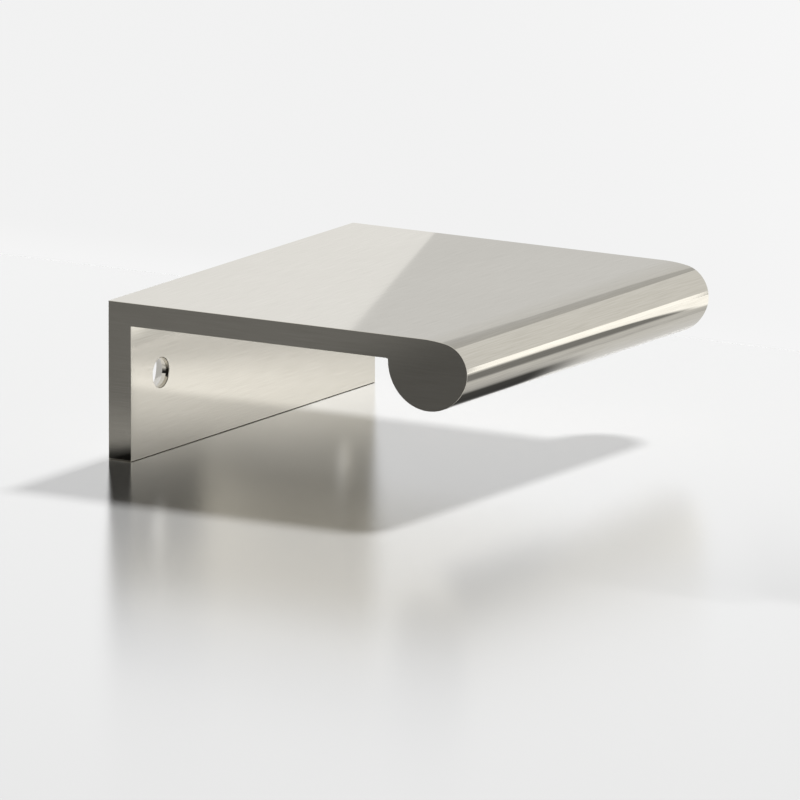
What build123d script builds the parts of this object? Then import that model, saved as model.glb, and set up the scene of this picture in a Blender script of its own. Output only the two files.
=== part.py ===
from build123d import *
import math
import os

# A tab pull: a length of extruded L section with a round nose.
# The leg stands behind a drawer front and is screwed to it, the plate lies on the front's top edge,
# and the nose hangs over the face of the front for the fingers.
# +X runs from the leg to the nose, +Y along the pull, +Z up.
# The origin lies on the leg's seating face, midway between the two screw holes.

# Sizes of the section, in millimetres
depth = 57.3
leg_height = 22.2
leg_thickness = 3.6
plate_thickness = 3.25
nose_radius = 6.4
brow_radius = 4.15
crown_drop = 0.33
root_fillet = 0.4
edge_round = 0.15

# How far the rounds turn, in degrees: the crown off the top face, and the brow under its own front
crown_turn = 10.0
brow_tuck = 23.0

# Sizes along the pull and of its screw holes, in millimetres and degrees
pull_length = 63.5
screw_hole_diameter = 4.15
screw_hole_spacing = 48.0
screw_hole_drop = 11.0
countersink_diameter = 9.1
countersink_angle = 90.0
mouth_round = 0.1

# Faces of the section, measured from the seating face and from the holes' own level
seat_x = 0.0
back_x = seat_x - leg_thickness
front_x = back_x + depth
top_z = screw_hole_drop
underside_z = top_z - plate_thickness
foot_z = top_z - leg_height


def on_round(centre, radius, angle):
    """A point on a round of the section. Zero degrees is to the front and 90 is up."""
    turn = math.radians(angle)
    return (centre[0] + radius * math.cos(turn), centre[1] + radius * math.sin(turn))


# The brow is the tight round at the front. The crown, a far gentler round, leads the top face into
# it, and the nose, which is larger than the brow, takes over from it below the front. Each meets the
# next without a corner, so their centres follow from the radii and the turns.
crown_end_angle = 90 - crown_turn
crown_end_z = top_z - crown_drop
brow = (
    front_x - brow_radius,
    crown_end_z - brow_radius * math.sin(math.radians(crown_end_angle)),
)
crown_end = on_round(brow, brow_radius, crown_end_angle)
crown_radius = crown_drop / (1 - math.sin(math.radians(crown_end_angle)))
crown = on_round(crown_end, -crown_radius, crown_end_angle)
brow_end = on_round(brow, brow_radius, -brow_tuck)
nose = on_round(brow, brow_radius - nose_radius, -brow_tuck)
root_rise = underside_z - nose[1]
root_angle = 180 - math.degrees(math.asin(root_rise / nose_radius))


def section_outline():
    """Draw the closed section, seen along the pull."""
    crown_start = (crown[0], top_z)
    crown_middle = on_round(crown, crown_radius, 90 - crown_turn / 2)
    brow_middle = on_round(brow, brow_radius, (crown_end_angle - brow_tuck) / 2)
    nose_bottom = on_round(nose, nose_radius, -90)
    root = on_round(nose, nose_radius, root_angle)
    with BuildSketch(Plane.XZ) as sketch:
        with BuildLine():
            Line((back_x, foot_z), (back_x, top_z))
            Line((back_x, top_z), crown_start)
            ThreePointArc(crown_start, crown_middle, crown_end)
            ThreePointArc(crown_end, brow_middle, brow_end)
            ThreePointArc(brow_end, nose_bottom, root)
            Line(root, (seat_x, underside_z))
            Line((seat_x, underside_z), (seat_x, foot_z))
            Line((seat_x, foot_z), (back_x, foot_z))
        make_face()
        corners = sketch.vertices()
        fillet(corners.sort_by_distance((root[0], 0, root[1]))[0], root_fillet)
    return sketch.sketch


def blank():
    """Extrude the section to the pull's full length, centred on the screw holes."""
    return extrude(section_outline(), amount=pull_length / 2, both=True)


def screw_hole(y):
    """Cut one screw hole, countersunk from the back of the leg."""
    half_angle = math.radians(countersink_angle / 2)
    sink_depth = (countersink_diameter - screw_hole_diameter) / 2 / math.tan(half_angle)
    drill = Cylinder(screw_hole_diameter / 2, leg_thickness * 2)
    sink = Cone(
        countersink_diameter / 2,
        screw_hole_diameter / 2,
        sink_depth,
        align=(Align.CENTER, Align.CENTER, Align.MIN),
    )
    through = Plane(origin=(seat_x, y, 0), z_dir=(1, 0, 0)) * drill
    mouth = Plane(origin=(back_x, y, 0), z_dir=(1, 0, 0)) * sink
    return through + mouth


def is_hole_mouth(edge):
    """Tell the rims where the screw holes open into the seating face."""
    near_seat = abs(edge.center().X - seat_x) < 0.001
    return near_seat and abs(edge.radius - screw_hole_diameter / 2) < 0.001


def is_sharp_end_edge(edge):
    """Tell the edges round the two sawn ends from all the others."""
    return abs(abs(edge.center().Y) - pull_length / 2) < 0.001


def tab_pull():
    """Make the finished pull: blank, broken edges and screw holes."""
    body = blank()
    ends = [edge for edge in body.edges() if is_sharp_end_edge(edge)]
    long_edges = body.edges().filter_by(Axis.Y)
    outer = [
        edge
        for edge in long_edges
        if edge.center().X < back_x + 0.001 or edge.center().Z < foot_z + 0.001
    ]
    body = fillet(ends + outer, edge_round)
    for side in (-1, 1):
        body = body - screw_hole(side * screw_hole_spacing / 2)
    rims = [edge for edge in body.edges().filter_by(GeomType.CIRCLE) if is_hole_mouth(edge)]
    return fillet(rims, mouth_round)


os.makedirs("parts", exist_ok=True)
pull = tab_pull()
export_step(pull, "parts/tab_pull.step")
print("tab pull volume, cubic mm:", round(pull.volume, 1))
print("box:", pull.bounding_box())
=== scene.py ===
# %% [markdown]
# # A tab pull in satin nickel
# This lesson dresses a finished CAD part. The pull is a length of extruded metal with an L section:
# its leg is screwed behind a drawer front, its plate lies on the front's top edge, and its round nose
# hangs over the face for the fingers.
# The CAD part gives the frame. All lengths are metres here, so sizes are written in millimetres times MM.

# %% Load the frame
import math

import bmesh
import bpy
from mathutils import Matrix, Vector


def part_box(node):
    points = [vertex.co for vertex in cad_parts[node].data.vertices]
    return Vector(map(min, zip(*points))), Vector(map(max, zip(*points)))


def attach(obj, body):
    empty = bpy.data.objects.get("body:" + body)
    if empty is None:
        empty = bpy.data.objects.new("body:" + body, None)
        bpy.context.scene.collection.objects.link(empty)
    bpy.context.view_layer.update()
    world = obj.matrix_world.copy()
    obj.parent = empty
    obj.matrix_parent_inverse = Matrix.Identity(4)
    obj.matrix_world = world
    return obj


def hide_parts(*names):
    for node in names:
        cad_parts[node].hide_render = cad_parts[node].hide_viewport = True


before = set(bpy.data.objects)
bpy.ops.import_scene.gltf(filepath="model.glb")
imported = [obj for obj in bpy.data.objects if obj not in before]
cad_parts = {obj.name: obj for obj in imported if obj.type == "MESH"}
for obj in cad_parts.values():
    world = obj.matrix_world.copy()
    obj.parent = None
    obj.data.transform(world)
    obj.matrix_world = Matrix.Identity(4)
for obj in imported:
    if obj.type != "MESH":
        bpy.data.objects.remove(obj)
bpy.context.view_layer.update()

MM = 0.001
low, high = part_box("tab_pull")
print("CAD box, mm:", [round(v / MM, 3) for v in (*low, *high)])

# %% [markdown]
# ## The section
# A real pull of this kind starts as a drawn bar whose section never changes, and it is sawn to length.
# It could be boxes and a cylinder put together, but then the round would meet the plate in a seam.
# So the section is drawn once, as a closed outline, and the outline is pulled out to the full length.
# Only the straight corners are written down. Three rounds are spun from one vertex, each going on
# where the last one ends: the crown, a gentle fall off the top face, then the tight brow in front,
# and then the nose. Each round's centre lies on the line through the last centre and the place where
# they meet, so no corner shows between them.

# %% Sizes of the section
leg_thickness = 3.6 * MM
plate_thickness = 3.25 * MM
nose_radius = 6.4 * MM
brow_radius = 4.15 * MM
crown_drop = 0.33 * MM
crown_turn = math.radians(10)
brow_tuck = math.radians(23)
root_fillet = 0.4 * MM
edge_round = 0.05 * MM
pull_length = high.y - low.y

back_x, front_x = low.x, high.x
seat_x = back_x + leg_thickness
top_z, foot_z = high.z, low.z
underside_z = top_z - plate_thickness


def on_arc(centre, radius, angle):
    """A point on a round of the section. Zero is to the front and a right angle is up."""
    return centre + radius * Vector((math.cos(angle), 0, math.sin(angle)))


crown_end_angle = math.pi / 2 - crown_turn
crown_end_z = top_z - crown_drop
brow = Vector((front_x - brow_radius, 0, crown_end_z - brow_radius * math.sin(crown_end_angle)))
crown_radius = crown_drop / (1 - math.sin(crown_end_angle))
crown = on_arc(on_arc(brow, brow_radius, crown_end_angle), -crown_radius, crown_end_angle)
nose = on_arc(brow, brow_radius - nose_radius, -brow_tuck)
root_angle = math.pi - math.asin((underside_z - nose.z) / nose_radius)
print("nose centre, mm:", [round(v / MM, 2) for v in nose])

# %% Draw the outline
CROWN_STEPS = 8
BROW_STEPS = 44
NOSE_STEPS = 76
ALONG = Vector((0, 1, 0))


def spin_arc(drawing, start, centre, angle, steps):
    """Spin one vertex about a centre, in the section's plane, and return the arc's last vertex."""
    spun = bmesh.ops.spin(
        drawing, geom=[start], cent=centre, axis=ALONG, angle=angle, steps=steps, use_merge=False,
        use_duplicate=False, dvec=(0, 0, 0),
    )
    return next(v for v in spun["geom_last"] if isinstance(v, bmesh.types.BMVert))


def draw_section():
    """Draw the section as one face in the plane of the pull's near end."""
    drawing = bmesh.new()
    crown_start = drawing.verts.new((crown.x, 0, top_z))
    crown_end = spin_arc(drawing, crown_start, crown, crown_turn, CROWN_STEPS)
    brow_end = spin_arc(drawing, crown_end, brow, crown_end_angle + brow_tuck, BROW_STEPS)
    root = spin_arc(drawing, brow_end, nose, 2 * math.pi - root_angle - brow_tuck, NOSE_STEPS)
    seat_top = drawing.verts.new((seat_x, 0, underside_z))
    seat_foot = drawing.verts.new((seat_x, 0, foot_z))
    back_foot = drawing.verts.new((back_x, 0, foot_z))
    back_top = drawing.verts.new((back_x, 0, top_z))
    corners = [root, seat_top, seat_foot, back_foot, back_top, crown_start]
    for one, other in zip(corners, corners[1:]):
        drawing.edges.new((one, other))
    bmesh.ops.contextual_create(drawing, geom=drawing.edges[:])
    bmesh.ops.bevel(
        drawing, geom=[root], offset=root_fillet, segments=6, profile=0.5, affect="VERTICES",
        material=-1,
    )
    return drawing


section = draw_section()
print("section outline:", len(section.verts), "points,", len(section.faces), "face")

# %% [markdown]
# ## Pull the section out and break its edges
# Sawn ends are sharp, so a maker breaks their edges with a fine file or in a tumbler.
# The rounds are fine, 0.05 mm. The CAD has 0.15 mm, but in a near mirror a round of that size draws a
# line of light along each edge, and the photo shows none. A Bevel modifier could do it, but here only
# the end outlines and the leg's outer long edges are rounded, so those edges are picked and given to
# the bevel operator. Its overlap clamp stays off, because it would make every round smaller without
# a word, and the round is measured on the mesh instead.

# %% Make the blank
END_SEGMENTS = 4


def is_end_edge(edge):
    """Tell the edges round the two sawn ends, which have both vertices in the same end plane."""
    one, other = edge.verts
    at_end = abs(abs(one.co.y) - pull_length / 2) < 1e-6
    return at_end and abs(one.co.y - other.co.y) < 1e-6


def is_outer_long_edge(edge):
    """Tell the long edges at the back of the leg and round its foot."""
    one, other = edge.verts
    along = abs(one.co.y - other.co.y) > pull_length / 2
    return along and (one.co.x < back_x + 1e-6 or one.co.z < foot_z + 1e-6)


def make_blank(drawing):
    """Extrude the section along the pull and break the edges."""
    bmesh.ops.translate(drawing, verts=drawing.verts[:], vec=(0, -pull_length / 2, 0))
    pulled = bmesh.ops.extrude_face_region(drawing, geom=drawing.faces[:], use_keep_orig=True)
    far_end = [v for v in pulled["geom"] if isinstance(v, bmesh.types.BMVert)]
    bmesh.ops.translate(drawing, verts=far_end, vec=(0, pull_length, 0))
    bmesh.ops.recalc_face_normals(drawing, faces=drawing.faces[:])
    ends = [e for e in drawing.edges if is_end_edge(e)]
    long_ones = [e for e in drawing.edges if is_outer_long_edge(e)]
    print("edges to round:", len(ends), "at the ends,", len(long_ones), "along the leg")
    bmesh.ops.bevel(
        drawing, geom=ends + long_ones, offset=edge_round, segments=END_SEGMENTS, profile=0.5,
        affect="EDGES", offset_type="OFFSET", material=-1, clamp_overlap=False,
    )
    return drawing


blank = make_blank(section)
end_foot = min(v.co.z for v in blank.verts if abs(abs(v.co.y) - pull_length / 2) < 1e-7)
print("round measured at the ends' foot, mm:", round((end_foot - foot_z) / MM, 3))
print("blank:", len(blank.faces), "faces, volume", round(blank.calc_volume() / MM**3, 1), "cubic mm")

# %% [markdown]
# ## The screw holes
# Two countersunk screws hold the leg, so each hole is a drilled bore with a cone at the back face.
# A Boolean modifier cuts a hole as a drill does: the drill and its countersink are two cones from the
# same operator, and the modifier's result is kept as the mesh. The rim on the leg's inner face is then
# rounded a little, as it is when the leg is polished after drilling.

# %% Drill and countersink
screw_hole_diameter = 4.15 * MM
screw_hole_spacing = 48 * MM
countersink_diameter = 9.1 * MM
countersink_angle = math.radians(90)
mouth_round = 0.1 * MM
HOLE_STEPS = 72
MOUTH_SEGMENTS = 4
ALONG_X = Matrix.Rotation(math.radians(90), 3, "Y")


def new_object(name, drawing):
    """Turn a bmesh into an object that stands at the origin."""
    mesh = bpy.data.meshes.new(name)
    drawing.to_mesh(mesh)
    drawing.free()
    made = bpy.data.objects.new(name, mesh)
    bpy.context.scene.collection.objects.link(made)
    return made


def make_drills():
    """Make both drills with their countersinks, lying along X through the leg."""
    drills = bmesh.new()
    overshoot = 0.4 * MM
    slope = math.tan(countersink_angle / 2)
    sink_depth = (countersink_diameter - screw_hole_diameter) / 2 / slope
    for side in (-1, 1):
        y = side * screw_hole_spacing / 2
        bore = bmesh.ops.create_cone(
            drills, cap_ends=True, segments=HOLE_STEPS, radius1=screw_hole_diameter / 2,
            radius2=screw_hole_diameter / 2, depth=leg_thickness * 2,
        )
        bmesh.ops.rotate(drills, verts=bore["verts"], matrix=ALONG_X)
        bmesh.ops.translate(drills, verts=bore["verts"], vec=((back_x + seat_x) / 2, y, 0))
        sink = bmesh.ops.create_cone(
            drills, cap_ends=True, segments=HOLE_STEPS,
            radius1=countersink_diameter / 2 + overshoot * slope,
            radius2=screw_hole_diameter / 2 - overshoot * slope, depth=sink_depth + 2 * overshoot,
        )
        bmesh.ops.rotate(drills, verts=sink["verts"], matrix=ALONG_X)
        bmesh.ops.translate(drills, verts=sink["verts"], vec=(back_x + sink_depth / 2, y, 0))
    return new_object("drills", drills)


def cut(piece, tool):
    """Take the tool's shape out of the piece and keep the result."""
    modifier = piece.modifiers.new("cut", "BOOLEAN")
    modifier.operation = "DIFFERENCE"
    modifier.object = tool
    modifier.solver = "EXACT"
    modifier.use_self = True
    shown = piece.evaluated_get(bpy.context.evaluated_depsgraph_get())
    piece.data = bpy.data.meshes.new_from_object(shown)
    piece.modifiers.clear()
    bpy.data.objects.remove(tool)


def round_mouths(piece):
    """Break the rims where the holes open into the leg's inner face."""
    drawing = bmesh.new()
    drawing.from_mesh(piece.data)
    rims = []
    for edge in drawing.edges:
        away = [math.hypot(abs(v.co.y) - screw_hole_spacing / 2, v.co.z) for v in edge.verts]
        on_seat = all(abs(v.co.x - seat_x) < 1e-6 for v in edge.verts)
        if on_seat and all(abs(a - screw_hole_diameter / 2) < 0.01 * MM for a in away):
            rims.append(edge)
    bmesh.ops.bevel(
        drawing, geom=rims, offset=mouth_round, segments=MOUTH_SEGMENTS, profile=0.5, affect="EDGES",
        offset_type="OFFSET", material=-1, clamp_overlap=True,
    )
    drawing.to_mesh(piece.data)
    drawing.free()
    return len(rims)


pull = new_object("nickel_tab_pull", blank)
cut(pull, make_drills())
print("mouth edges rounded:", round_mouths(pull))
print("pull with holes:", len(pull.data.polygons), "faces")

# %% [markdown]
# ## Smooth where the metal is smooth
# The nose is many flat strips, and smooth shading blends them into one round. Shading would also
# smear over the real corners, so edges steeper than a limit are marked sharp. Weighted normals keep
# the large faces flat beside their narrow rounds, which matters on metal that mirrors its room.

# %% Set the shading
SHARP_ANGLE = math.radians(32)


def smooth_shading(piece):
    """Smooth the faces, mark the corners sharp and let the large faces rule the normals."""
    drawing = bmesh.new()
    drawing.from_mesh(piece.data)
    for face in drawing.faces:
        face.smooth = True
    for edge in drawing.edges:
        edge.smooth = edge.calc_face_angle(math.pi) < SHARP_ANGLE
    drawing.to_mesh(piece.data)
    drawing.free()
    weighted = piece.modifiers.new("flat faces stay flat", "WEIGHTED_NORMAL")
    weighted.mode = "FACE_AREA"
    weighted.weight = 100
    weighted.keep_sharp = True


smooth_shading(pull)
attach(pull, "root")
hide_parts("tab_pull")

# %% [markdown]
# ## Writing materials as expressions
# A material is a graph of nodes. Wiring each sum by hand is slow to read, so a small class wraps a
# socket: a sum on it adds the Math node for that sum. Every other node comes from one method, which
# takes the node's type, its settings and what goes into its sockets.

# %% A socket that can be reckoned with
class Wire:
    """One output socket of a material. Sums on it add Math nodes."""

    def __init__(self, finish, socket):
        self.finish = finish
        self.socket = socket

    def also(self, name):
        """Another output of the same node."""
        return Wire(self.finish, self.socket.node.outputs[name])

    def math(self, operation, *others):
        values = dict(enumerate((self, *others)))
        return self.finish.add("ShaderNodeMath", {"operation": operation}, values)

    def __add__(self, other):
        return self.math("ADD", other)

    def __sub__(self, other):
        return self.math("SUBTRACT", other)

    def __rsub__(self, other):
        return (self * -1).math("ADD", other)

    def __mul__(self, other):
        return self.math("MULTIPLY", other)

    def __truediv__(self, other):
        return self.math("DIVIDE", other)

    def __pow__(self, other):
        return self.math("POWER", other)

    __radd__ = __add__
    __rmul__ = __mul__

    def ramp(self, start, end):
        """Go smoothly from 0 at start to 1 at end."""
        settings = {"interpolation_type": "SMOOTHSTEP"}
        return self.finish.add("ShaderNodeMapRange", settings, {0: self, 1: start, 2: end})


class Finish:
    """A node tree that is being drawn, for a material or for the world."""

    def __init__(self, owner, output):
        owner.use_nodes = True
        self.tree = owner.node_tree
        self.tree.nodes.clear()
        self.output = self.tree.nodes.new(output)

    def add(self, kind, settings=None, values=None, out=0):
        """Add a node, set it up, fill its sockets, and return one output."""
        node = self.tree.nodes.new(kind)
        for name, setting in (settings or {}).items():
            setattr(node, name, setting)
        for name, value in (values or {}).items():
            socket = node.inputs[name]
            if isinstance(value, Wire):
                self.tree.links.new(value.socket, socket)
            else:
                socket.default_value = value
        return Wire(self, node.outputs[out])

    def blend(self, share, first, second):
        """Mix two colours by a share from 0 to 1."""
        sockets = {0: share, 6: first, 7: second}
        return self.add("ShaderNodeMix", {"data_type": "RGBA"}, sockets, out=2)

    def close(self, shader):
        self.tree.links.new(shader.socket, self.output.inputs["Surface"])


def new_finish(name):
    """Start a material and return it with its node tree."""
    material = bpy.data.materials.new(name)
    return material, Finish(material, "ShaderNodeOutputMaterial")


# %% [markdown]
# ## Satin nickel
# The pull is plated with nickel, a little warm beside chrome, and polished along its length. The
# plating shows the room almost as a mirror does, but each reflected edge is soft by a few tenths of a
# millimetre, and faint lines run along the pull from the polishing belt.
# Metal has no colour of its own apart from its reflections, so the base colour is the nickel's own
# tint, and the roughness is low. The lines are noise stretched along Y: they change the tint and the
# roughness by a very little, and lift the surface by about a thousandth of a millimetre.
# The sawn ends are polished across, so their lines run along X instead.

# %% Nickel
NICKEL = (0.66, 0.63, 0.558, 1)
NICKEL_DULL = (0.575, 0.546, 0.476, 1)
NICKEL_ROUGHNESS = 0.055


def stretched_noise(finish, place, lines_per_metre, detail):
    """Noise with its own number of lines per metre along each axis."""
    scaled = finish.add(
        "ShaderNodeVectorMath", {"operation": "MULTIPLY"}, {0: place, 1: lines_per_metre}
    )
    values = {"Vector": scaled, "Scale": 1.0, "Detail": detail, "Roughness": 0.55}
    return finish.add("ShaderNodeTexNoise", {"noise_dimensions": "3D"}, values)


def make_nickel():
    """Make the plated metal, with lengthwise lines and crosswise lines on the ends."""
    material, finish = new_finish("satin_nickel")
    coords = finish.add("ShaderNodeTexCoord", out="Object")
    facing = finish.add("ShaderNodeSeparateXYZ", {}, {0: coords.also("Normal")}, out="Y")
    on_end = facing.math("ABSOLUTE").ramp(0.6, 0.9)
    along = stretched_noise(finish, coords, (9000, 160, 9000), 3)
    across = stretched_noise(finish, coords, (160, 9000, 9000), 3)
    cloud = stretched_noise(finish, coords, (60, 25, 60), 2)
    lines = along * (1 - on_end) + across * on_end
    tone = lines * 0.8 + cloud * 0.2
    colour = finish.blend(tone.ramp(0.29, 0.71), NICKEL_DULL, NICKEL)
    roughness = NICKEL_ROUGHNESS + (lines - 0.5) * 0.03 + (cloud - 0.5) * 0.02
    bump = finish.add(
        "ShaderNodeBump", {}, {"Strength": 0.25, "Distance": 0.001 * MM, "Height": lines}
    )
    values = {
        "Base Color": colour, "Metallic": 1.0, "Roughness": roughness, "Normal": bump,
    }
    finish.close(finish.add("ShaderNodeBsdfPrincipled", {}, values))
    return material


pull.data.materials.clear()
pull.data.materials.append(make_nickel())
print("nickel nodes:", len(pull.data.materials[0].node_tree.nodes))

# %% [markdown]
# ## The camera
# The photograph was taken from far away with a long lens, so parallel edges stay almost parallel.
# The camera stands 4 m away, round to the right of the near end and a little above, and aims beside
# the pull's middle so that the pull fills the picture as in the photograph.

# %% Camera
CAMERA_AZIMUTH = math.radians(31.551)
CAMERA_ELEVATION = math.radians(11.6575)
CAMERA_DISTANCE = 4.0
PIXELS_PER_MM = 7.3396
PICTURE_WIDTH = 800
SENSOR = 36
AIM_RIGHT = 39.731 * MM
AIM_DOWN = 13.562 * MM

to_camera = Vector((
    math.sin(CAMERA_AZIMUTH) * math.cos(CAMERA_ELEVATION),
    -math.cos(CAMERA_AZIMUTH) * math.cos(CAMERA_ELEVATION),
    math.sin(CAMERA_ELEVATION),
))
picture_right = Vector((math.cos(CAMERA_AZIMUTH), math.sin(CAMERA_AZIMUTH), 0))
picture_up = to_camera.cross(picture_right)
near_top_corner = Vector((back_x, -pull_length / 2, top_z))
aim = near_top_corner + picture_right * AIM_RIGHT - picture_up * AIM_DOWN

camera_data = bpy.data.cameras.new("camera")
camera_data.sensor_width = SENSOR
camera_data.lens = PIXELS_PER_MM / MM * SENSOR * CAMERA_DISTANCE / PICTURE_WIDTH
camera_data.clip_start = 0.1
camera_data.clip_end = 20
camera = bpy.data.objects.new("camera", camera_data)
bpy.context.scene.collection.objects.link(camera)
camera.location = aim + to_camera * CAMERA_DISTANCE
camera.rotation_euler = to_camera.to_track_quat("Z", "Y").to_euler()
bpy.context.scene.camera = camera
print("lens, mm:", round(camera_data.lens, 1))

# %% [markdown]
# ## Floor and wall
# The pull stands on a smooth pale table that mirrors it softly. A plain Principled table would need
# a very high gloss to do that, so the table mixes a white that takes the lamp's light and shadow with
# a blurred mirror. The wall behind is only there for the camera, and only from its front, so that it
# hides nothing in the other views.

# %% Floor and wall
FLOOR_GLOSS = 1.95
FLOOR_BLUR = 0.2
WALL_Y = 81 * MM
EVERYTHING = ("camera", "diffuse", "glossy", "transmission", "volume_scatter", "shadow")


def seen_only_by(stage_piece, *rays):
    """Choose which kinds of ray meet this part of the stage."""
    for ray in EVERYTHING:
        setattr(stage_piece, "visible_" + ray, ray in rays)


def flat_piece(name, corners, towards):
    """Make one flat face through these corners, facing a point."""
    drawing = bmesh.new()
    bmesh.ops.contextual_create(drawing, geom=[drawing.verts.new(c) for c in corners])
    drawing.normal_update()
    drawing.faces.ensure_lookup_table()
    face = drawing.faces[0]
    if face.normal.dot(Vector(towards) - face.calc_center_median()) < 0:
        bmesh.ops.reverse_faces(drawing, faces=drawing.faces[:])
    made = new_object(name, drawing)
    return made


def rectangle(x_range, y_range, z_range):
    """Corners of an upright or lying rectangle, which is flat in the range that has one value."""
    (x0, x1), (y0, y1), (z0, z1) = x_range, y_range, z_range
    if z0 == z1:
        return [(x0, y0, z0), (x1, y0, z0), (x1, y1, z0), (x0, y1, z0)]
    return [(x0, y0, z0), (x1, y1, z0), (x1, y1, z1), (x0, y0, z1)]


def make_floor_finish():
    material, finish = new_finish("pale_table")
    white = finish.add("ShaderNodeBsdfDiffuse", {}, {"Color": (0.9, 0.9, 0.9, 1)})
    mirror = finish.add(
        "ShaderNodeBsdfAnisotropic", {"distribution": "BECKMANN"},
        {"Color": (1, 1, 1, 1), "Roughness": FLOOR_BLUR},
    )
    flatness = finish.add("ShaderNodeLayerWeight", {}, {"Blend": 0.5}, out="Facing")
    share = flatness ** FLOOR_GLOSS
    finish.close(finish.add("ShaderNodeMixShader", {}, {0: share, 1: white, 2: mirror}))
    return material


def make_glow(name, glow, cover=None, reach=None, start=None):
    """A glow on the front alone. Cover thins it, reach ends it for far rays, start for near ones."""
    material, finish = new_finish(name)
    if callable(glow):
        glow = glow(finish)
    light = finish.add("ShaderNodeEmission", {}, {"Color": glow, "Strength": 1.0})
    nothing = finish.add("ShaderNodeBsdfTransparent")
    shown = 1 - finish.add("ShaderNodeNewGeometry", out="Backfacing")
    if cover:
        shown = shown * cover(finish)
    if reach:
        way = finish.add("ShaderNodeLightPath", out="Ray Length")
        shown = shown * way.math("LESS_THAN", reach)
    if start:
        way = finish.add("ShaderNodeLightPath", out="Ray Length")
        shown = shown * way.math("GREATER_THAN", start)
    finish.close(finish.add("ShaderNodeMixShader", {}, {0: shown, 1: nothing, 2: light}))
    return material


def wall_tone(finish):
    """Almost white, a touch brighter to the right and at the top, and as the table is at its foot."""
    place = finish.add("ShaderNodeTexCoord", out="Object")
    x = finish.add("ShaderNodeSeparateXYZ", {}, {0: place}, out="X")
    z = x.also("Z")
    # The sweep is painted light on the wall: brighter to the right and at the top.
    sweep = (x * 9 + z * 4 + 0.2).ramp(0, 1)
    paint = finish.blend(sweep, (0.885, 0.885, 0.885, 1), (0.93, 0.93, 0.93, 1))
    return finish.blend(z.ramp(foot_z, foot_z + 6 * MM), (0.913, 0.913, 0.913, 1), paint)


floor = flat_piece("table", rectangle((-0.9, 0.9), (-0.9, 0.9), (foot_z, foot_z)), (0, 0, 1))
floor.data.materials.append(make_floor_finish())
wall = flat_piece("wall", rectangle((-0.5, 0.5), (WALL_Y, WALL_Y), (foot_z, 0.3)), (0, -1, 0))
wall.data.materials.append(make_glow("wall", wall_tone))
seen_only_by(wall, "camera")
print("wall behind the pull, mm:", round((WALL_Y - pull_length / 2) / MM, 1))

# %% [markdown]
# ## The room
# Metal shows the room, so the room is most of the look. The world is one plain pale tone. The camera
# and the reflections see it almost white, and it gives the table only a little soft light, because
# the table's own light comes from the lamp.

# %% World
ROOM = 0.877


def make_world():
    world = bpy.data.worlds.new("room")
    finish = Finish(world, "ShaderNodeOutputWorld")
    camera_ray = finish.add("ShaderNodeLightPath", out="Is Camera Ray")
    mirror_ray = camera_ray.also("Is Glossy Ray")
    through_ray = camera_ray.also("Is Transmission Ray")
    strength = camera_ray * 0.9 + mirror_ray * ROOM + through_ray * ROOM
    values = {"Color": (1, 1, 1, 1), "Strength": strength.math("MAXIMUM", 0.04)}
    finish.close(finish.add("ShaderNodeBackground", {}, values))
    return world


bpy.context.scene.world = make_world()
print("room tone in the metal:", ROOM)

# %% [markdown]
# ## The lamp
# One soft lamp behind the pull, about 43 degrees up, draws the shadow towards the camera. The metal
# doesn't mirror the lamp itself: a bare lamp in polished metal is a white hole.

# %% Lamp
LAMP_DISTANCE = 2.2
LAMP_SIZE = 0.318
LAMP_POWER = 66
to_lamp = Vector((0.03, 0.731, 0.682)).normalized()
lamp_data = bpy.data.lights.new("lamp", "AREA")
lamp_data.shape = "DISK"
lamp_data.size = LAMP_SIZE
lamp_data.energy = LAMP_POWER
lamp = bpy.data.objects.new("lamp", lamp_data)
bpy.context.scene.collection.objects.link(lamp)
lamp.location = to_lamp * LAMP_DISTANCE
lamp.rotation_euler = to_lamp.to_track_quat("Z", "Y").to_euler()
lamp.visible_glossy = False
print("lamp height, degrees:", round(math.degrees(math.asin(to_lamp.z)), 1))

# %% [markdown]
# ## Cards
# A photographer shapes polished metal with cards: pale ones that it mirrors as light, and dark ones
# that it mirrors as shade. Here each card is a glow that only mirrored rays meet: a pale card is a
# painted reflection of light, a dark one is painted shade. Each is placed by following the line of
# sight: from the camera to a point on the metal, and on from there in the mirrored direction.

# %% Follow the line of sight
def mirrored(normal):
    """The direction in which the camera looks after it meets metal with this normal."""
    normal = Vector(normal).normalized()
    return 2 * normal.dot(to_camera) * normal - to_camera


def carry(point, normal, axis, value):
    """Follow the mirrored line of sight from a point on the metal to a plane across an axis."""
    direction = mirrored(normal)
    point = Vector(point)
    return point + direction * ((value - point[axis]) / direction[axis])


def on_top(from_leg, from_near_end):
    """A point on the top face, by its distances from the leg's back and from the near end."""
    return Vector((back_x + from_leg, -pull_length / 2 + from_near_end, top_z))


def on_round(angle, from_near_end):
    """A point on the nose and its normal. The angle is 90 degrees on top and 0 in front."""
    turn = math.radians(angle)
    if turn > crown_end_angle:
        centre, radius = crown, crown_radius
    elif turn > -brow_tuck:
        centre, radius = brow, brow_radius
    else:
        centre, radius = nose, nose_radius
    near_end = Vector((0, -pull_length / 2 + from_near_end, 0))
    return on_arc(centre, radius, turn) + near_end, on_arc(Vector(), 1, turn)


def card(name, corners, glow, towards=(0, 0, 0), cover=None, reach=None, start=None):
    """A card that only mirrored rays meet."""
    made = flat_piece(name, corners, towards)
    made.data.materials.append(make_glow(name, glow, cover, reach, start))
    seen_only_by(made, "glossy")
    return made


def grey(value):
    return (value, value, value, 1)


# %% [markdown]
# ## The top face in two tones
# In the photograph a slanting line parts the top face into a light and a darker grey. That line is
# the edge between two cards behind the pull. It could be painted on the metal, but then it would stay
# there in every view, so the cards' shared edge is found by mirroring the line of sight instead.
# Both cards end for rays that come from far off, so that the table doesn't show them.

# %% Cards for the top face
UP = (0, 0, 1)
CARD_Y = 66 * MM
LENGTH_MM = pull_length / MM


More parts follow.
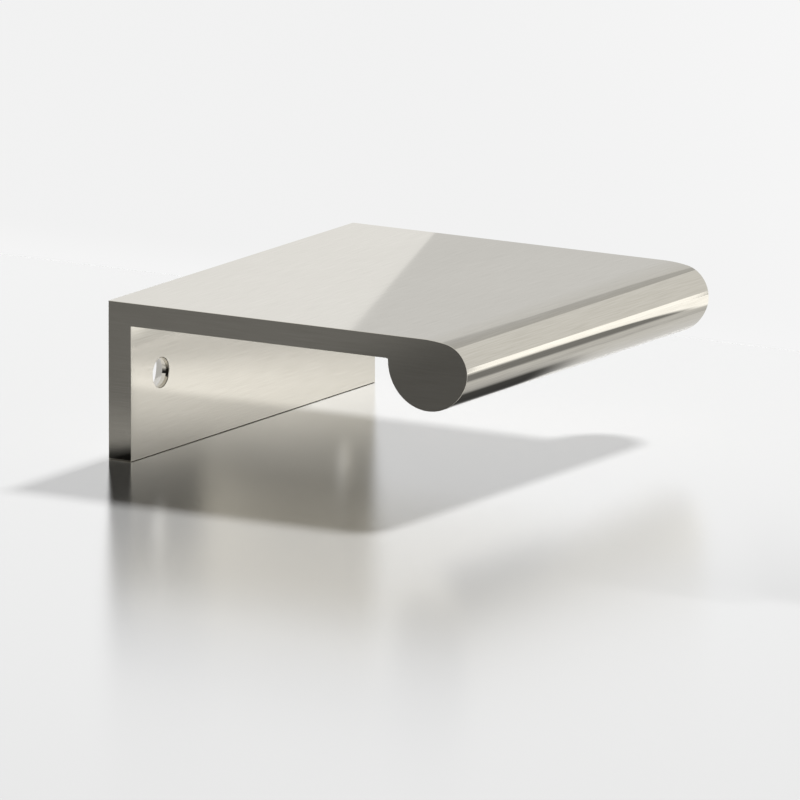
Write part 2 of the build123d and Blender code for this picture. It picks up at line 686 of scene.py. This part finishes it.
def over_top(from_leg, from_near_end):
    """Where the line of sight by a point on the top face meets the plane of the top's cards."""
    return carry(on_top(from_leg * MM, from_near_end * MM), UP, 1, CARD_Y)


def on_card(angle, from_near_end):
    """Where the line of sight by a point on the round meets the plane of the top's cards."""
    return carry(*on_round(angle, from_near_end * MM), 1, CARD_Y)


MARGIN = 4
TOP_REACH = 0.16
edge_far = over_top(38.43 - 0.3986 * (LENGTH_MM + MARGIN), LENGTH_MM + MARGIN)
edge_near = over_top(38.43 + 0.3986 * MARGIN, -MARGIN)
left_far = over_top(-MARGIN, LENGTH_MM + MARGIN)
left_near = over_top(-MARGIN, -MARGIN)
card("bright_card", [left_far, edge_far, edge_near, left_near], grey(0.985), reach=TOP_REACH)
band_far = on_card(68, LENGTH_MM + 2)
band_near = on_card(82, -2)
right_far = over_top(60, LENGTH_MM + MARGIN)
card(
    "grey_card", [edge_far, right_far, band_far, band_near, edge_near], grey(0.75), reach=TOP_REACH
)

print("edge between the cards, mm:", [round(v / MM, 1) for v in (*edge_near, *edge_far)])

# %% [markdown]
# ## The dark band on the brow
# Just over the front edge the metal shows a narrow darker band. On a round this tight a small turn of
# the surface sweeps over much of the room, so the card is large, stands further off and is plain grey.

# %% Card for the dark band on the brow
BAND_Y = 120 * MM
BAND_REACH = 0.22
band_right = carry(*on_round(59, 0.032), 1, BAND_Y).x
card(
    "dark_card", rectangle((-0.06, band_right), (BAND_Y, BAND_Y), (0.036, 0.15)), grey(0.575),
    reach=BAND_REACH,
)

print("dark card ends at x, mm:", round(band_right / MM, 1))

# %% [markdown]
# ## What the nose sees on the table
# The lower half of the nose mirrors the table. Cards lying on it paint what it mirrors there: painted
# shade in a strip beside the pull, a sheet of painted light behind it, and the pull's own shade
# beneath. A few steps of grey along X, blended, give all of these. One card for each would leave a
# seam between neighbours.
# The near end looks down at the table in front of it, so a soft dark card there paints the shade it
# mirrors.

# %% Cards on the table for the nose and the near end
TABLE_CARD_HEIGHT = 0.3


def on_table(from_leg, from_near_end, height=TABLE_CARD_HEIGHT):
    """A point just above the table, by its distances in millimetres from the pull's back and end."""
    y = -pull_length / 2 + from_near_end * MM
    return Vector((back_x + from_leg * MM, y, foot_z + height * MM))


def places(finish):
    """Distances in millimetres from the leg's back, from the near end, and from the table."""
    here = finish.add("ShaderNodeTexCoord", out="Object")
    x = finish.add("ShaderNodeSeparateXYZ", {}, {0: here}, out="X")
    near_end = -pull_length / 2
    return (x - back_x) / MM, (x.also("Y") - near_end) / MM, (x.also("Z") - foot_z) / MM


def glow_steps(finish, place, steps):
    """A grey that follows steps of place and glow."""
    first, last = steps[0][0], steps[-1][0]
    share = (place - first) / (last - first)
    ramp = finish.add("ShaderNodeValToRGB", {}, {0: share})
    stops = ramp.socket.node.color_ramp.elements
    while len(stops) < len(steps):
        stops.new(0.5)
    for stop, (at, glow) in zip(stops, steps):
        stop.position = (at - first) / (last - first)
        stop.color = grey(glow)
    return ramp


SIDE_GLOW = (
    (62, 0.62), (66, 0.7), (71, 0.74), (73.3, 0.56), (75.3, 0.34), (77, 0.27), (100, 0.27),
    (104, 0.38), (114, 0.62), (132, 0.85), (150, 1.0),
)
SIDE_END = 150


def side_glow(finish):
    """Painted shade in a strip beside the pull, and painted light behind a slanting line."""
    x, y, _ = places(finish)
    blur = 4 + x.ramp(93, 118) * 15
    line = y - 96.5 - (x - 76) * 0.58 + (x - 95).math("MAXIMUM", 0) * 0.25
    behind = (line / blur).ramp(-1, 1) * x.ramp(68, 72)
    return finish.blend(behind, glow_steps(finish, x, SIDE_GLOW), grey(1.5))


card(
    "side_card", [on_table(*p) for p in ((62, 15), (SIDE_END, 15), (SIDE_END, 230), (62, 230))],
    side_glow, towards=(0, 0, 1),
)


def on_side_end(angle, from_near_end):
    """Where the line of sight by a point on the round meets the plane where the side card ends."""
    return carry(*on_round(angle, from_near_end * MM), 0, back_x + SIDE_END * MM)


# The white card glows brighter than white: a painted highlight along the front of the nose.
white_near, white_far = on_side_end(13, 2), on_side_end(12.3, 66)
white_foot = [Vector((top.x, top.y, foot_z + TABLE_CARD_HEIGHT * MM)) for top in (white_far, white_near)]
card("white_card", [white_near, white_far, *white_foot], grey(1.6))
print("white card's top, mm above the table:", round((white_near.z - foot_z) / MM, 1))

SHADE_GLOW = (
    (34, 0.72), (38, 0.6), (40, 0.42), (42, 0.26), (43.7, 0.14), (45.3, 0.08), (46.8, 0.06),
    (48, 0.05), (56, 0.07), (57.7, 0.33), (58.9, 0.5), (62, 0.62),
)


def shade_glow(finish):
    """The nose's own shade on the table, gone by the pull's middle."""
    x, y, _ = places(finish)
    return finish.blend(y.ramp(40, 60), glow_steps(finish, x, SHADE_GLOW), grey(0.78))


def shade_cover(finish):
    x, y, _ = places(finish)
    near = x.ramp(34, 37) * (1 - y.ramp(44, 54))
    return near.math("MAXIMUM", x.ramp(44, 48) * (1 - y.ramp(85, 100)))


card(
    "shade_card", [on_table(*p) for p in ((34, 10), (62, 10), (62, 100), (34, 100))],
    shade_glow, towards=(0, 0, 1), cover=shade_cover,
)


# Painted shade in front of the near end: denser on the nose's side, fading out towards the pull.
def end_shade_cover(finish):
    x, y, _ = places(finish)
    return (x.ramp(-18, 6) * 0.3 + 0.3) * (1 - y.ramp(-40, -15))


card(
    "end_shade_card", [on_table(*p) for p in ((-70, -130), (60, -130), (60, -15), (-70, -15))],
    grey(0.0), towards=(0, 0, 1), cover=end_shade_cover,
)

# Painted contact shade on the table just in front of the leg's foot, densest at the foot.
def foot_shade_cover(finish):
    x, y, _ = places(finish)
    return x.ramp(-10, -1) * y.ramp(-16, 0) * 0.85


card(
    "foot_shade_card", [on_table(*p) for p in ((-9, -16), (3.6, -16), (3.6, 0), (-9, 0))], grey(0.0),
    towards=(0, 0, 1), cover=foot_shade_cover,
)

print("steps of grey beside and below the nose:", len(SIDE_GLOW), len(SHADE_GLOW))

# %% [markdown]
# ## The band on the leg
# The leg's inner face shows a bright band that climbs along the pull, and fades above and below. One
# upright card with steps of grey makes it. Its upper part stands above the plate, where the top face
# would mirror it in other views, so that part is shown only to rays that come from further off.
# A small card in the gap is painted shade: it darkens what the table shows of the leg near the plate.

# %% Cards for the leg
LEG_GLOW = (
    (-10, 0.79), (-7.6, 1.42), (-3, 1.42), (-1, 1.2), (1, 0.95), (3, 0.62), (5, 0.35), (8, 0.15),
    (12, 0.05),
)


def leg_glow(finish):
    """Levels of the band, from below it to above it."""
    _, y, z = places(finish)
    return glow_steps(finish, z - y * 0.1723, LEG_GLOW)


def upright(from_leg, near, far, low_mm, high_mm):
    """Corners of an upright card across X."""
    sides = ((near, low_mm), (far, low_mm), (far, high_mm), (near, high_mm))
    return [on_table(from_leg, y, z) for y, z in sides]


card("leg_card", upright(44, 64.2, 170, 0.4, 19), leg_glow, towards=(-1, 0, 0))
card("leg_card_top", upright(44, 64.2, 170, 19, 42), leg_glow, towards=(-1, 0, 0), start=0.06)


def gap_shade_cover(finish):
    """The card ends softly with the plate."""
    _, y, _ = places(finish)
    return 1 - y.ramp(58, 64)


card("gap_shade_card", upright(30, 20, 64, 10.6, 18.9), grey(0.2), towards=(-1, 0, 0), cover=gap_shade_cover)

print("steps of grey for the leg:", len(LEG_GLOW))

# %% [markdown]
# ## Where the leg touches down, and inside the countersink
# Two parts never touch without a thin line of shade, and metal doubles it. A narrow dark card along
# the leg's foot gives the mirrored half as painted shade. The countersink looks backwards, at a part of
# the table that nothing else shows, so a soft grey card lies there as painted shade.

# %% Painted shade: a dark line under the leg, and a grey card behind for the countersink
CONTACT_HEIGHT = 0.03
contact_plan = ((3.6, 0), (3.9, 0), (3.9, LENGTH_MM), (3.6, LENGTH_MM))
card(
    "contact_shade_line", [on_table(x, y, CONTACT_HEIGHT) for x, y in contact_plan], grey(0.05),
    towards=(0, 0, 1),
)


# Painted shade for the countersink: a grey dimmer than the room, fading out at its edges.
def sink_shade_cover(finish):
    x, y, _ = places(finish)
    return x.ramp(-150, -110) * (1 - x.ramp(-30, -20)) * y.ramp(12, 24) * (1 - y.ramp(90, 110))


card(
    "sink_shade_card", [on_table(*p) for p in ((-150, 12), (-20, 12), (-20, 110), (-150, 110))],
    grey(0.58), towards=(0, 0, 1), cover=sink_shade_cover, reach=0.2,
)

# %% [markdown]
# ## The flag
# The near end is dark in the photograph, because something dark stood in front of the pull. A
# photographer calls that a flag. It is low and close, so that the table still mirrors the light above.

# %% Flag in front
# The flag is painted shade: a near-black sheet that only mirrored rays meet.
FLAG_DISTANCE = 0.147
FLAG_HEIGHT = 0.044
FLAG_HALF_WIDTH = 0.2
flag_way = Vector((-to_camera.x, to_camera.y, 0)).normalized()
flag_side = Vector((-flag_way.y, flag_way.x, 0))
flag_foot = flag_way * FLAG_DISTANCE + Vector((0, 0, foot_z))
flag_left = flag_foot - flag_side * FLAG_HALF_WIDTH
flag_right = flag_foot + flag_side * FLAG_HALF_WIDTH
flag_rise = Vector((0, 0, FLAG_HEIGHT))
card("flag", [flag_left, flag_right, flag_right + flag_rise, flag_left + flag_rise], grey(0.02))
print("flag height, mm:", FLAG_HEIGHT / MM)

# %% [markdown]
# ## The picture's tones
# The Standard view shows a colour as it is written, with nothing else done to it.

# %% Finish
bpy.context.scene.view_settings.view_transform = "Standard"
